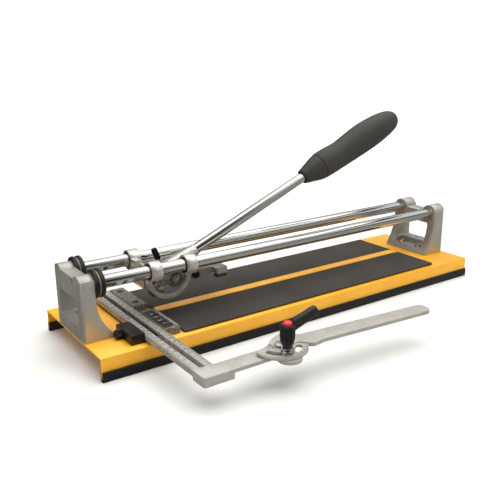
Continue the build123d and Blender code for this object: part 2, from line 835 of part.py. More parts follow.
# ---------------------------------------------------------------- angle arm
arc_slot_radius = hypot(clamp_x - angle_x, clamp_y - angle_y)
arc_slot_from = -158.0
arc_slot_to = -32.0
arc_slot_path = CenterArc((0, 0), arc_slot_radius, arc_slot_from, arc_slot_to - arc_slot_from)
with BuildPart() as angle_arm:
    # thin scale plate, cut straight on its far left side
    with BuildSketch(angle_plane):
        Circle(disc_radius)
        with BuildLine():
            Polyline(
                (-disc_radius - 2, -1.5),
                (disc_cut_left, disc_cut_height),
                (0, arm_far_edge + 5),
                (disc_radius, disc_radius),
                (-disc_radius - 2, disc_radius + 2),
                close=True,
            )
        make_face(mode=Mode.SUBTRACT)
    extrude(amount=disc_thickness)
    # thicker hub and arm, with a hook where the arm meets the plate
    with BuildSketch(angle_plane):
        with BuildLine():
            Polyline(
                (disc_cut_left, -1),
                (disc_cut_left, disc_cut_height),
                (0, arm_far_edge + 5),
                (12, hub_ear),
                (22, arm_far_edge + 3),
                (30, arm_far_edge),
                (arm_tip, arm_far_edge),
                (arm_tip, arm_near_edge_at_tip),
                (45, arm_near_edge),
                (31, arm_hook),
                (26, arm_near_edge),
                (18, -2),
                (8, -6),
                close=True,
            )
        make_face()
        tip_corners = [v for v in vertices() if v.X > angle_x + arm_tip * 0.9]
        fillet(tip_corners, arm_tip_radius)
    extrude(amount=arm_thickness)
    with BuildSketch(angle_plane):
        SlotArc(arc_slot_path, arc_slot_width)
    extrude(amount=disc_thickness, mode=Mode.SUBTRACT)
    with BuildSketch(angle_plane):
        Circle(angle_pivot_radius + pin_clearance)
    extrude(amount=arm_thickness, mode=Mode.SUBTRACT)
save(angle_arm.part, "angle_arm")

plate_top = angle_plate_bottom + disc_thickness
hub_top = angle_plate_bottom + arm_thickness
with BuildPart() as angle_pivot:
    with BuildSketch(Plane.XY.offset(arm_end_bottom)):
        with Locations((angle_x, angle_y)):
            Circle(angle_pivot_radius)
    extrude(amount=hub_top + 0.2 - arm_end_bottom)
    with BuildSketch(Plane.XY.offset(hub_top + 0.2)):
        with Locations((angle_x, angle_y)):
            Circle(angle_pivot_radius * 1.5)
    extrude(amount=1.6)
save(angle_pivot.part, "angle_pivot")

# ---------------------------------------------------------------- clamp lever
stud_nut_bottom = plate_top + washer_thickness + 0.3
with BuildPart() as clamp_washer:
    with BuildSketch(Plane.XY.offset(plate_top + 0.15)):
        with Locations((clamp_x, clamp_y)):
            Circle(washer_radius)
            Circle(stud_radius, mode=Mode.SUBTRACT)
    extrude(amount=washer_thickness)
save(clamp_washer.part, "clamp_washer")

stud_top = 54.0
with BuildPart() as clamp_stud:
    with BuildSketch(Plane.XY.offset(arm_end_bottom)):
        with Locations((clamp_x, clamp_y)):
            Circle(stud_radius)
    extrude(amount=stud_top - arm_end_bottom)
    with BuildSketch(Plane.XY.offset(stud_nut_bottom)):
        with Locations((clamp_x, clamp_y)):
            Circle(washer_radius - 0.6)
    extrude(amount=clamp_nut_height)
save(clamp_stud.part, "clamp_stud")

with BuildPart() as clamp_lever:
    with BuildSketch(Plane.XY.offset(barrel_bottom)):
        with Locations((clamp_x, clamp_y)):
            Circle(barrel_radius - 2)
    with BuildSketch(Plane.XY.offset((barrel_bottom + barrel_top) / 2)):
        with Locations((clamp_x, clamp_y)):
            Circle(barrel_radius)
    loft()
    with BuildSketch(Plane.XY.offset((barrel_bottom + barrel_top) / 2)):
        with Locations((clamp_x, clamp_y)):
            Circle(barrel_radius)
    extrude(amount=(barrel_top - barrel_bottom) / 2)
    with BuildSketch(side_plane(clamp_y + handle_width / 2)):
        with BuildLine():
            Polyline(
                (clamp_x, handle_root),
                (clamp_x + barrel_radius, handle_root + 1),
                (clamp_x + handle_length - 3, handle_tip),
                (clamp_x + handle_length, handle_tip + 3),
                (clamp_x + handle_length - 2, handle_tip + handle_tip_height),
                (clamp_x + barrel_radius, handle_root + handle_root_height),
                (clamp_x + button_radius + 1, barrel_top),
                (clamp_x, barrel_top),
                close=True,
            )
        make_face()
    extrude(amount=handle_width)
    with BuildSketch(Plane.XY.offset(barrel_top)):
        with Locations((clamp_x, clamp_y)):
            Circle(button_radius + 0.3)
    extrude(amount=-6, mode=Mode.SUBTRACT)
    with BuildSketch(Plane.XY.offset(barrel_bottom)):
        with Locations((clamp_x, clamp_y)):
            Circle(stud_radius + pin_clearance)
    extrude(amount=stud_top - barrel_bottom + 0.5, mode=Mode.SUBTRACT)
save(clamp_lever.part, "clamp_lever")

spring_radius = 3.2
spring_wire = 0.5
with BuildPart() as button_spring:
    with BuildSketch(Plane.XY.offset(barrel_top - 6)):
        with Locations((clamp_x, clamp_y)):
            Circle(spring_radius)
            Circle(spring_radius - spring_wire * 2, mode=Mode.SUBTRACT)
    extrude(amount=1.2)
save(button_spring.part, "button_spring")

with BuildPart() as clamp_button:
    with BuildSketch(Plane.XY.offset(barrel_top - 2.5)):
        with Locations((clamp_x, clamp_y)):
            Circle(button_radius)
    extrude(amount=2.5 + button_stand)
    fillet(clamp_button.faces().sort_by(Axis.Z)[-1].edges(), 1.2)
save(clamp_button.part, "clamp_button")
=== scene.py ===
"""Looks of the tile cutter: finishes, edge rounding, scales, knurls, grips, light and camera."""

import json
from math import cos, pi, radians, sin

import bmesh
import bpy
from mathutils import Matrix, Vector


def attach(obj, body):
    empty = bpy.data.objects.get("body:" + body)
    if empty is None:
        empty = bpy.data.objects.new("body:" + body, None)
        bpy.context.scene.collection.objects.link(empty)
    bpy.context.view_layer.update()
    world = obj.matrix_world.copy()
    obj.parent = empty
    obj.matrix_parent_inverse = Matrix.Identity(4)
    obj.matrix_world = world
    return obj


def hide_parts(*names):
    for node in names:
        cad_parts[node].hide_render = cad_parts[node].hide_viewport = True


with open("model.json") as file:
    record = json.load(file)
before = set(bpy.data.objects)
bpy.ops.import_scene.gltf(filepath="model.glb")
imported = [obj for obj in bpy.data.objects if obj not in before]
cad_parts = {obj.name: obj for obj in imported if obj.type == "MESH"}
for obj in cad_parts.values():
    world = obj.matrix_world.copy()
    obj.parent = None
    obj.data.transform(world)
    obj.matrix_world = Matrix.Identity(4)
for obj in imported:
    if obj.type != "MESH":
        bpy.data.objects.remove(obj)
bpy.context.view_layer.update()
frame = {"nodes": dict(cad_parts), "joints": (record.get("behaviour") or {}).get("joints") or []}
MM = 0.001
HARD_EDGE = 32      # degrees between faces from which an edge counts as hard and is rounded


# ---------------------------------------------------------------- small tools
def linear(hex_colour):
    """sRGB hex to the linear colour that the shader wants."""
    levels = [int(hex_colour[i:i + 2], 16) / 255 for i in (1, 3, 5)]
    return (*[c / 12.92 if c <= 0.04045 else ((c + 0.055) / 1.055) ** 2.4 for c in levels], 1.0)


def add(tree, kind, inputs=None, **settings):
    """One node with its settings; each input is a value or another node's output to link."""
    node = tree.nodes.new(kind)
    for name, value in settings.items():
        setattr(node, name, value)
    for key, value in (inputs or {}).items():
        if isinstance(value, bpy.types.NodeSocket):
            tree.links.new(value, node.inputs[key])
        else:
            node.inputs[key].default_value = value
    return node


def per_mm(size):
    """Pattern scale that gives features of this size in millimetres."""
    return 1.0 / (size * MM)


def surface(name, **constants):
    """A new material with one Principled shader; returns material, tree, shader and Object coordinates."""
    material = bpy.data.materials.new(name)
    material.use_nodes = True
    tree = material.node_tree
    shader = tree.nodes["Principled BSDF"]
    for socket, value in constants.items():
        shader.inputs[socket.replace("_", " ")].default_value = value
    place = add(tree, "ShaderNodeTexCoord").outputs["Object"]
    return material, tree, shader, place


def mottle(tree, place, size, dark, light, low=0.35, high=0.65, detail=3.0):
    """Colour that wanders between two hex colours over patches of this size."""
    noise = add(tree, "ShaderNodeTexNoise", {"Vector": place, "Scale": per_mm(size), "Detail": detail})
    ramp = add(tree, "ShaderNodeValToRGB", {"Fac": noise.outputs["Fac"]})
    ramp.color_ramp.elements[0].position = low
    ramp.color_ramp.elements[1].position = high
    ramp.color_ramp.elements[0].color = linear(dark)
    ramp.color_ramp.elements[1].color = linear(light)
    return ramp.outputs["Color"], noise.outputs["Fac"]


def wear(tree, shader, pattern, smooth, rough, depth, strength=0.4):
    """Lets one pattern drive the roughness, from smooth to rough, and a bump this many millimetres deep."""
    spread = add(tree, "ShaderNodeMapRange", {"Value": pattern, "To Min": smooth, "To Max": rough})
    tree.links.new(spread.outputs["Result"], shader.inputs["Roughness"])
    bump = add(tree, "ShaderNodeBump", {"Height": pattern, "Distance": depth * MM, "Strength": strength})
    tree.links.new(bump.outputs["Normal"], shader.inputs["Normal"])


# ---------------------------------------------------------------- finishes
# Polyester powder coat on folded steel: golden orange with a faint orange peel under a clear gloss.
powder_coat, tree, shader, place = surface(
    "polyester_powder_coat", IOR=1.5, Coat_Weight=0.25, Coat_Roughness=0.15)
colour, grain = mottle(tree, place, 24, "#F4AD22", "#F8B630")
tree.links.new(colour, shader.inputs["Base Color"])
peel = add(tree, "ShaderNodeTexNoise", {"Vector": place, "Scale": per_mm(1.8), "Detail": 2.0})
wear(tree, shader, peel.outputs["Fac"], 0.32, 0.44, 0.04, 0.3)

# Extruded EPDM edge strip: near black, drawn smooth along its length with a faint dull bloom.
edge_rubber, tree, shader, place = surface("extruded_epdm_rubber", IOR=1.52)
colour, grain = mottle(tree, place, 6, "#171615", "#242221")
tree.links.new(colour, shader.inputs["Base Color"])
drawn = add(tree, "ShaderNodeMapping", {"Vector": place, "Scale": (0.02, 1.0, 1.0)})
lines = add(tree, "ShaderNodeTexNoise", {
    "Vector": drawn.outputs["Vector"], "Scale": per_mm(0.7), "Detail": 2.0})
wear(tree, shader, lines.outputs["Fac"], 0.45, 0.68, 0.05)

# Moulded rubber mat: warm charcoal with a fine pebbled skin that kills any shine.
pad_rubber, tree, shader, place = surface("pebbled_rubber_mat", IOR=1.5, Specular_IOR_Level=0.3)
colour, grain = mottle(tree, place, 45, "#37332F", "#403C37", 0.3, 0.7)
tree.links.new(colour, shader.inputs["Base Color"])
pebbles = add(tree, "ShaderNodeTexVoronoi", {"Vector": place, "Scale": per_mm(1.1)})
wear(tree, shader, pebbles.outputs["Distance"], 0.7, 0.9, 0.1, 0.5)

# Die-cast aluminium, tumbled: dull satin metal with soft cloudy patches and a sandy grain.
cast_aluminium, tree, shader, place = surface("tumbled_cast_aluminium", Metallic=0.55)
colour, grain = mottle(tree, place, 14, "#ABA89F", "#B7B4AA")
tree.links.new(colour, shader.inputs["Base Color"])
sand = add(tree, "ShaderNodeTexNoise", {"Vector": place, "Scale": per_mm(0.9), "Detail": 3.0})
wear(tree, shader, sand.outputs["Fac"], 0.3, 0.5, 0.05, 0.3)

# Turned aluminium for the carriage: brighter than the castings, with fine lathe lines round the rails.
turned_aluminium, tree, shader, place = surface("turned_aluminium", Metallic=0.75)
colour, grain = mottle(tree, place, 5, "#C9C6BF", "#DCDAD3")
tree.links.new(colour, shader.inputs["Base Color"])
lathe = add(tree, "ShaderNodeMapping", {"Vector": place, "Scale": (1.0, 0.04, 0.04)})
rings = add(tree, "ShaderNodeTexNoise", {
    "Vector": lathe.outputs["Vector"], "Scale": per_mm(0.5), "Detail": 2.0})
wear(tree, shader, rings.outputs["Fac"], 0.2, 0.36, 0.03, 0.3)

# Shot-blasted aluminium of the guard ring and cheeks: mid grey and dull, pitted like fine sandpaper.
blasted_aluminium, tree, shader, place = surface("shot_blasted_aluminium", Metallic=0.7)
colour, grain = mottle(tree, place, 5, "#9A9791", "#ABA8A1")
tree.links.new(colour, shader.inputs["Base Color"])
pits = add(tree, "ShaderNodeTexNoise", {"Vector": place, "Scale": per_mm(0.7), "Detail": 3.0})
wear(tree, shader, pits.outputs["Fac"], 0.4, 0.6, 0.05, 0.4)

# Hard chrome on ground rod: a mirror with the faintest grinding lines across it.
chrome, tree, shader, place = surface("hard_chrome", Metallic=1.0, Base_Color=linear("#D9D9D6"))
ground = add(tree, "ShaderNodeMapping", {"Vector": place, "Scale": (1.0, 0.05, 0.05)})
lines = add(tree, "ShaderNodeTexNoise", {
    "Vector": ground.outputs["Vector"], "Scale": per_mm(1.2), "Detail": 1.0})
wear(tree, shader, lines.outputs["Fac"], 0.05, 0.12, 0.004)

# Moulded nitrile bumper rings: black with a soft satin skin.
ring_rubber, tree, shader, place = surface("moulded_nitrile_rubber", IOR=1.52)
colour, grain = mottle(tree, place, 3, "#100F0F", "#1C1B1A")
tree.links.new(colour, shader.inputs["Base Color"])
wear(tree, shader, grain, 0.34, 0.55, 0.06, 0.3)

# Bright zinc plate on small steel parts: cool silver with a slight cloudy haze.
zinc_plate, tree, shader, place = surface("bright_zinc_plate", Metallic=1.0)
colour, grain = mottle(tree, place, 2.5, "#B0B1B1", "#D2D3D3")
tree.links.new(colour, shader.inputs["Base Color"])
wear(tree, shader, grain, 0.14, 0.3, 0.02, 0.3)

# Black oxide on steel screws: oily black, satin, brown where it thins.
black_oxide, tree, shader, place = surface("black_oxide_steel", Metallic=0.6)
colour, grain = mottle(tree, place, 1.5, "#0D0C0B", "#26221E")
tree.links.new(colour, shader.inputs["Base Color"])
wear(tree, shader, grain, 0.28, 0.45, 0.03, 0.3)

# Sand-cast ruler, ground on top: blotched with darker pores along the base, lighter and even towards
# the corner.
ruler_metal, tree, shader, place = surface("ground_sand_casting", Metallic=0.4)
blotched, grain = mottle(tree, place, 2.6, "#807C75", "#B7B3AC", 0.34, 0.62, 4.0)
lighter_near_corner, cloud = mottle(tree, place, 14, "#AEAAA3", "#BDB9B2")
along_y = add(tree, "ShaderNodeSeparateXYZ", {"Vector": place}).outputs["Y"]
from_corner = add(tree, "ShaderNodeMapRange", {"Value": along_y, "From Min": -0.165, "From Max": -0.115})
blend = add(tree, "ShaderNodeMix", {
    0: from_corner.outputs["Result"], 6: lighter_near_corner, 7: blotched}, data_type="RGBA")
tree.links.new(blend.outputs[2], shader.inputs["Base Color"])
wear(tree, shader, grain, 0.6, 0.46, 0.03, 0.2)

# Bead-blasted zinc die casting of the angle arm: an even, light, dull grey.
blasted_zinc, tree, shader, place = surface("bead_blasted_zinc", Metallic=0.35)
colour, grain = mottle(tree, place, 12, "#A9A59C", "#B5B1A8")
tree.links.new(colour, shader.inputs["Base Color"])
blast = add(tree, "ShaderNodeTexNoise", {"Vector": place, "Scale": per_mm(1.0), "Detail": 2.0})
wear(tree, shader, blast.outputs["Fac"], 0.48, 0.6, 0.02, 0.25)

# Ground steel fence: brownish grey, blotched by handling.
fence_metal, tree, shader, place = surface("handled_ground_steel", Metallic=0.45)
colour, grain = mottle(tree, place, 2.6, "#565149", "#8E887D", 0.34, 0.66, 5.0)
tree.links.new(colour, shader.inputs["Base Color"])
wear(tree, shader, grain, 0.58, 0.42, 0.05)

# Soft-touch polypropylene grip: dark warm grey, dead matt, with a fine spark-eroded grain.
grip_plastic, tree, shader, place = surface("grained_polypropylene", IOR=1.49, Specular_IOR_Level=0.4)
colour, grain = mottle(tree, place, 40, "#33322E", "#3B3A35", 0.3, 0.7)
tree.links.new(colour, shader.inputs["Base Color"])
erode = add(tree, "ShaderNodeTexNoise", {"Vector": place, "Scale": per_mm(0.9), "Detail": 3.0})
wear(tree, shader, erode.outputs["Fac"], 0.46, 0.62, 0.04, 0.35)

# Glass-filled nylon of the clamp lever: black with a faint green cast and a dull fibre bloom.
clamp_nylon, tree, shader, place = surface("glass_filled_nylon", IOR=1.53)
colour, grain = mottle(tree, place, 4, "#121412", "#1E211E")
tree.links.new(colour, shader.inputs["Base Color"])
fibre = add(tree, "ShaderNodeTexNoise", {"Vector": place, "Scale": per_mm(0.7), "Detail": 4.0})
wear(tree, shader, fibre.outputs["Fac"], 0.34, 0.54, 0.03)

# Moulded acetal slides and guides: black, slightly waxy.
black_acetal, tree, shader, place = surface("moulded_acetal", IOR=1.48)
colour, grain = mottle(tree, place, 5, "#110E0D", "#1D1816")
tree.links.new(colour, shader.inputs["Base Color"])
wear(tree, shader, grain, 0.3, 0.46, 0.03, 0.25)

# Gloss ABS push button: clear bright red, moulded smooth.
button_abs, tree, shader, place = surface("gloss_moulded_abs", IOR=1.54)
colour, grain = mottle(tree, place, 4, "#E02A2C", "#EA3A3A")
tree.links.new(colour, shader.inputs["Base Color"])
wear(tree, shader, grain, 0.2, 0.26, 0.01, 0.3)

# Tungsten carbide wheel: dark ground metal with a slight cloud.
carbide, tree, shader, place = surface("ground_tungsten_carbide", Metallic=1.0)
colour, grain = mottle(tree, place, 1.2, "#6B6B6D", "#8C8C8E")
tree.links.new(colour, shader.inputs["Base Color"])
wear(tree, shader, grain, 0.18, 0.34, 0.01, 0.3)

# Baked scale ink, dark on the bright rulers.
dark_ink, tree, shader, place = surface("baked_dark_ink", IOR=1.5)
colour, grain = mottle(tree, place, 1.0, "#24262B", "#3C3D42")
tree.links.new(colour, shader.inputs["Base Color"])
wear(tree, shader, grain, 0.45, 0.55, 0.01, 0.3)

# Baked scale ink, pale on the dark fence.
pale_ink, tree, shader, place = surface("baked_pale_ink", IOR=1.5)
colour, grain = mottle(tree, place, 1.0, "#A9A498", "#CFCABD")
tree.links.new(colour, shader.inputs["Base Color"])
wear(tree, shader, grain, 0.45, 0.55, 0.01, 0.3)

# Dark print under the fence's scale: brown-black, worn dull and thin in spots.
fence_print, tree, shader, place = surface("screen_printed_enamel", IOR=1.5)
colour, grain = mottle(tree, place, 2.2, "#171714", "#3A3A33", 0.4, 0.7, 4.0)
tree.links.new(colour, shader.inputs["Base Color"])
wear(tree, shader, grain, 0.35, 0.55, 0.02, 0.3)


# ---------------------------------------------------------------- pieces
def place_piece(name, mesh, material, body, replaces=()):
    """Puts a finished mesh in the scene at the origin and hands it to its body."""
    piece = bpy.data.objects.new(name, mesh)
    bpy.context.scene.collection.objects.link(piece)
    mesh.materials.clear()
    mesh.materials.append(material)
    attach(piece, body)
    if replaces:
        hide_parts(*replaces)
    return piece


def settled(piece):
    """The piece's mesh with its modifiers applied, as a plain mesh."""
    bpy.context.view_layer.update()
    seen = piece.evaluated_get(bpy.context.evaluated_depsgraph_get())
    mesh = bpy.data.meshes.new_from_object(seen)
    bpy.data.objects.remove(piece)
    return mesh


def softened(node, material, body, edge):
    """A merged copy of a CAD node with every hard edge rounded over by this many millimetres."""
    mesh = frame["nodes"][node].data.copy()
    bm = bmesh.new()
    bm.from_mesh(mesh)
    bmesh.ops.remove_doubles(bm, verts=bm.verts, dist=2e-6)
    bmesh.ops.dissolve_limit(bm, angle_limit=radians(0.6), verts=bm.verts, edges=bm.edges)
    bm.to_mesh(mesh)
    bm.free()
    for face in mesh.polygons:
        face.use_smooth = True
    piece = bpy.data.objects.new(node + "_raw", mesh)
    bpy.context.scene.collection.objects.link(piece)
    bevel = piece.modifiers.new("edge", "BEVEL")
    bevel.width = edge * MM
    bevel.segments = 2
    bevel.limit_method = "ANGLE"
    bevel.angle_limit = radians(HARD_EDGE)
    bevel.harden_normals = True
    bevel.use_clamp_overlap = True
    return place_piece(node + "_finished", settled(piece), material, body, (node,))


# (node, finish, body, record slot, edge rounding in mm)
SOFTENED = (
    ("base_plate", powder_coat, "base", "powder_coat", 0.5),
    ("front_foot_strip", edge_rubber, "base", "edge_rubber", 0.3),
    ("rear_foot_strip", edge_rubber, "base", "edge_rubber", 0.3),
    ("front_pad", pad_rubber, "base", "pad_rubber", 0.5),
    ("rear_pad", pad_rubber, "base", "pad_rubber", 0.5),
    ("left_bracket", cast_aluminium, "base", "cast_aluminium", 0.6),
    ("right_bracket", cast_aluminium, "base", "cast_aluminium", 0.6),
    ("front_rail", chrome, "base", "chrome", 0.2),
    ("rear_rail", chrome, "base", "chrome", 0.2),
    ("bumper_rings", ring_rubber, "base", "ring_rubber", 0.2),
    ("ring_spacers", blasted_aluminium, "base", "cast_aluminium", 0.2),
    ("carriage_body", turned_aluminium, "carriage", "cast_aluminium", 0.4),
    ("carriage_bushes", black_acetal, "carriage", "bush_plastic", 0.2),
    ("pivot_bolt", zinc_plate, "carriage", "plated_steel", 0.4),
    ("pivot_nut", zinc_plate, "carriage", "plated_steel", 0.3),
    ("lever_hub", turned_aluminium, "lever", "cast_aluminium", 0.4),
    ("lever_rod", chrome, "lever", "chrome", 0.2),
    ("wheel_axle", zinc_plate, "lever", "plated_steel", 0.2),
    ("foot_pin", black_oxide, "lever", "black_steel", 0.4),
    ("scoring_wheel", carbide, "wheel", "carbide", 0.05),
    ("breaker_foot", blasted_aluminium, "breaker", "cast_aluminium", 0.4),
    ("foot_pads", pad_rubber, "breaker", "pad_rubber", 0.3),
    ("front_fence", fence_metal, "base", "fence_metal", 0.2),
    ("rear_fence", fence_metal, "base", "fence_metal", 0.2),
    ("ruler_guide", black_acetal, "base", "black_plastic", 0.3),
    ("side_ruler", ruler_metal, "ruler", "ruler_metal", 0.4),
    ("angle_arm", blasted_zinc, "angle", "ruler_metal", 0.4),
    ("angle_pivot", zinc_plate, "ruler", "plated_steel", 0.3),
    ("clamp_stud", chrome, "ruler", "chrome", 0.3),
    ("clamp_washer", zinc_plate, "ruler", "plated_steel", 0.3),
    ("clamp_button", button_abs, "button", "button_plastic", 0.3),
)
for node, material, body, slot_name, edge in SOFTENED:
    softened(node, material, body, edge)

# Small nodes that keep their CAD shape and only take a finish.
PLAIN = {"bracket_lock_screws": black_oxide, "fence_screws": black_oxide, "button_spring": zinc_plate}
for node, material in PLAIN.items():
    mesh = frame["nodes"][node].data
    mesh.materials.clear()
    mesh.materials.append(material)

# The guard ring and the cheeks inside it are left as blasted; only the sleeves and bridge are turned
# bright. The limits are in millimetres from the frame's origin.
carriage_mesh = bpy.data.objects["carriage_body_finished"].data
carriage_mesh.materials.append(blasted_aluminium)
for face in carriage_mesh.polygons:
    spot = face.center / MM
    in_guard = spot.z < 70.5 and spot.y < -23.5
    in_cheek = 12 < abs(spot.y) < 18 and spot.z < 80
    if in_guard or in_cheek:
        face.material_index = 1


# ---------------------------------------------------------------- pieces grown by geometry nodes
def blank_tree(name, sizes):
    """A geometry tree with a mesh input, the named number inputs and one mesh output."""
    tree = bpy.data.node_groups.new(name, "GeometryNodeTree")
    face = tree.interface
    face.new_socket("Geometry", in_out="INPUT", socket_type="NodeSocketGeometry")
    face.new_socket("Material", in_out="INPUT", socket_type="NodeSocketMaterial")
    for size in sizes:
        kind = "NodeSocketInt" if size in ("Count", "Long Every") else "NodeSocketFloat"
        face.new_socket(size, in_out="INPUT", socket_type=kind)
    face.new_socket("Geometry", in_out="OUTPUT", socket_type="NodeSocketGeometry")
    return tree, add(tree, "NodeGroupInput").outputs


def close_tree(tree, inputs, instances):
    """Ends a tree: instances made real, given the material and sent out."""
    real = add(tree, "GeometryNodeRealizeInstances", {"Geometry": instances})
    dressed = add(tree, "GeometryNodeSetMaterial", {
        "Geometry": real.outputs["Geometry"], "Material": inputs["Material"]})
    add(tree, "NodeGroupOutput", {"Geometry": dressed.outputs["Geometry"]})


def grown(name, tree, mesh, material, sizes):
    """The plain mesh that a geometry tree grows on the given mesh."""
    holder = bpy.data.objects.new(name + "_seed", mesh)
    bpy.context.scene.collection.objects.link(holder)
    modifier = holder.modifiers.new("grow", "NODES")
    modifier.node_group = tree
    values = dict(sizes, Material=material)
    for item in tree.interface.items_tree:
        if item.in_out == "INPUT" and item.name in values:
            modifier[item.identifier] = values[item.name]
    return settled(holder)


def points_mesh(places):
    """A mesh of loose points, one for each place."""
    mesh = bpy.data.meshes.new("places")
    mesh.from_pydata([tuple(p) for p in places], [], [])
    return mesh


# Straight scale: ticks in a row along +Y, every few of them longer, roots on x = 0 and reaching to +X.
scale_tree, g = blank_tree("straight_scale", (
    "Count", "Pitch", "Long Every", "Short", "Long", "Width", "Thickness"))
step = add(scale_tree, "ShaderNodeCombineXYZ", {"Y": g["Pitch"]})
line = add(scale_tree, "GeometryNodeMeshLine", {"Count": g["Count"], "Offset": step.outputs["Vector"]})
index = add(scale_tree, "GeometryNodeInputIndex")
rest = add(scale_tree, "ShaderNodeMath", {0: index.outputs["Index"], 1: g["Long Every"]}, operation="MODULO")
is_long = add(scale_tree, "ShaderNodeMath", {0: rest.outputs["Value"], 1: 0.5}, operation="LESS_THAN")
length = add(scale_tree, "ShaderNodeMapRange", {
    "Value": is_long.outputs["Value"], "To Min": g["Short"], "To Max": g["Long"]})
half = add(scale_tree, "ShaderNodeMath", {0: length.outputs["Result"], 1: 0.5}, operation="MULTIPLY")
reach = add(scale_tree, "ShaderNodeCombineXYZ", {"X": half.outputs["Value"]})
laid = add(scale_tree, "GeometryNodeSetPosition", {
    "Geometry": line.outputs["Mesh"], "Offset": reach.outputs["Vector"]})
tick = add(scale_tree, "GeometryNodeMeshCube")
shape = add(scale_tree, "ShaderNodeCombineXYZ", {
    "X": length.outputs["Result"], "Y": g["Width"], "Z": g["Thickness"]})
ticks = add(scale_tree, "GeometryNodeInstanceOnPoints", {
    "Points": laid.outputs["Geometry"], "Instance": tick.outputs["Mesh"], "Scale": shape.outputs["Vector"]})
close_tree(scale_tree, g, ticks.outputs["Instances"])

# Round scale: ticks that point outwards on an arc about the origin, every few of them longer.
arc_tree, g = blank_tree("round_scale", (
    "Count", "Radius", "From", "Step", "Long Every", "Short", "Long", "Width", "Thickness"))
line = add(arc_tree, "GeometryNodeMeshLine", {"Count": g["Count"], "Offset": (0, 0, 0)})
index = add(arc_tree, "GeometryNodeInputIndex")
angle = add(arc_tree, "ShaderNodeMath", {
    0: index.outputs["Index"], 1: g["Step"], 2: g["From"]}, operation="MULTIPLY_ADD")
rest = add(arc_tree, "ShaderNodeMath", {0: index.outputs["Index"], 1: g["Long Every"]}, operation="MODULO")
is_long = add(arc_tree, "ShaderNodeMath", {0: rest.outputs["Value"], 1: 0.5}, operation="LESS_THAN")
length = add(arc_tree, "ShaderNodeMapRange", {
    "Value": is_long.outputs["Value"], "To Min": g["Short"], "To Max": g["Long"]})
middle = add(arc_tree, "ShaderNodeMath", {
    0: length.outputs["Result"], 1: -0.5, 2: g["Radius"]}, operation="MULTIPLY_ADD")
spoke = add(arc_tree, "ShaderNodeCombineXYZ", {"X": middle.outputs["Value"]})
swung = add(arc_tree, "ShaderNodeVectorRotate", {
    "Vector": spoke.outputs["Vector"], "Angle": angle.outputs["Value"]}, rotation_type="Z_AXIS")
laid = add(arc_tree, "GeometryNodeSetPosition", {
    "Geometry": line.outputs["Mesh"], "Position": swung.outputs["Vector"]})
tick = add(arc_tree, "GeometryNodeMeshCube")
shape = add(arc_tree, "ShaderNodeCombineXYZ", {
    "X": length.outputs["Result"], "Y": g["Width"], "Z": g["Thickness"]})
spin = add(arc_tree, "ShaderNodeCombineXYZ", {"Z": angle.outputs["Value"]})
ticks = add(arc_tree, "GeometryNodeInstanceOnPoints", {
    "Points": laid.outputs["Geometry"], "Instance": tick.outputs["Mesh"], "Scale": shape.outputs["Vector"],
    "Rotation": spin.outputs["Vector"]})
close_tree(arc_tree, g, ticks.outputs["Instances"])

# Knurled knob: a core along +Z from z = 0, with sharp ridges standing round it.
knurl_tree, g = blank_tree("knurled_knob", ("Count", "Radius", "Height", "Ridge"))
root = add(knurl_tree, "ShaderNodeMath", {0: g["Radius"], 1: g["Ridge"]}, operation="SUBTRACT")
half = add(knurl_tree, "ShaderNodeMath", {0: g["Height"], 1: 0.5}, operation="MULTIPLY")
lift = add(knurl_tree, "ShaderNodeCombineXYZ", {"Z": half.outputs["Value"]})
core = add(knurl_tree, "GeometryNodeMeshCylinder", {
    "Vertices": 48, "Radius": root.outputs["Value"], "Depth": g["Height"]})
raised = add(knurl_tree, "GeometryNodeTransform", {
    "Geometry": core.outputs["Mesh"], "Translation": lift.outputs["Vector"]})
ring = add(knurl_tree, "GeometryNodeMeshCircle", {"Vertices": g["Count"], "Radius": root.outputs["Value"]})
outward = add(knurl_tree, "FunctionNodeAlignRotationToVector", {
    "Vector": add(knurl_tree, "GeometryNodeInputPosition").outputs["Position"]}, axis="X", pivot_axis="Z")
ridge_length = add(knurl_tree, "ShaderNodeMath", {0: g["Height"], 1: 0.86}, operation="MULTIPLY")
ridge = add(knurl_tree, "GeometryNodeMeshCylinder", {
    "Vertices": 4, "Radius": g["Ridge"], "Depth": ridge_length.outputs["Value"]})
ridges = add(knurl_tree, "GeometryNodeInstanceOnPoints", {
    "Points": ring.outputs["Mesh"], "Instance": ridge.outputs["Mesh"],
    "Rotation": outward.outputs["Rotation"]})
ridges_up = add(knurl_tree, "GeometryNodeTransform", {
    "Geometry": ridges.outputs["Instances"], "Translation": lift.outputs["Vector"]})
both = add(knurl_tree, "GeometryNodeJoinGeometry", {"Geometry": ridges_up.outputs["Geometry"]})
knurl_tree.links.new(raised.outputs["Geometry"], both.inputs["Geometry"])
close_tree(knurl_tree, g, both.outputs["Geometry"])

# Flange bolts: at each point a hexagon head with a chamfered crown, standing on a round flange.
bolt_tree, g = blank_tree("flange_bolts", ("Head", "Height", "Flange", "Flange Height"))
seat = add(bolt_tree, "GeometryNodeMeshCone", {
    "Vertices": 40, "Radius Top": g["Head"], "Radius Bottom": g["Flange"], "Depth": g["Flange Height"]})
head = add(bolt_tree, "GeometryNodeMeshCylinder", {
    "Vertices": 6, "Radius": g["Head"], "Depth": g["Height"]})
head_middle = add(bolt_tree, "ShaderNodeMath", {
    0: g["Height"], 1: 0.5, 2: g["Flange Height"]}, operation="MULTIPLY_ADD")
head_lift = add(bolt_tree, "ShaderNodeCombineXYZ", {"Z": head_middle.outputs["Value"]})
head_up = add(bolt_tree, "GeometryNodeTransform", {
    "Geometry": head.outputs["Mesh"], "Translation": head_lift.outputs["Vector"]})
crown_top = add(bolt_tree, "ShaderNodeMath", {0: g["Head"], 1: 0.6}, operation="MULTIPLY")
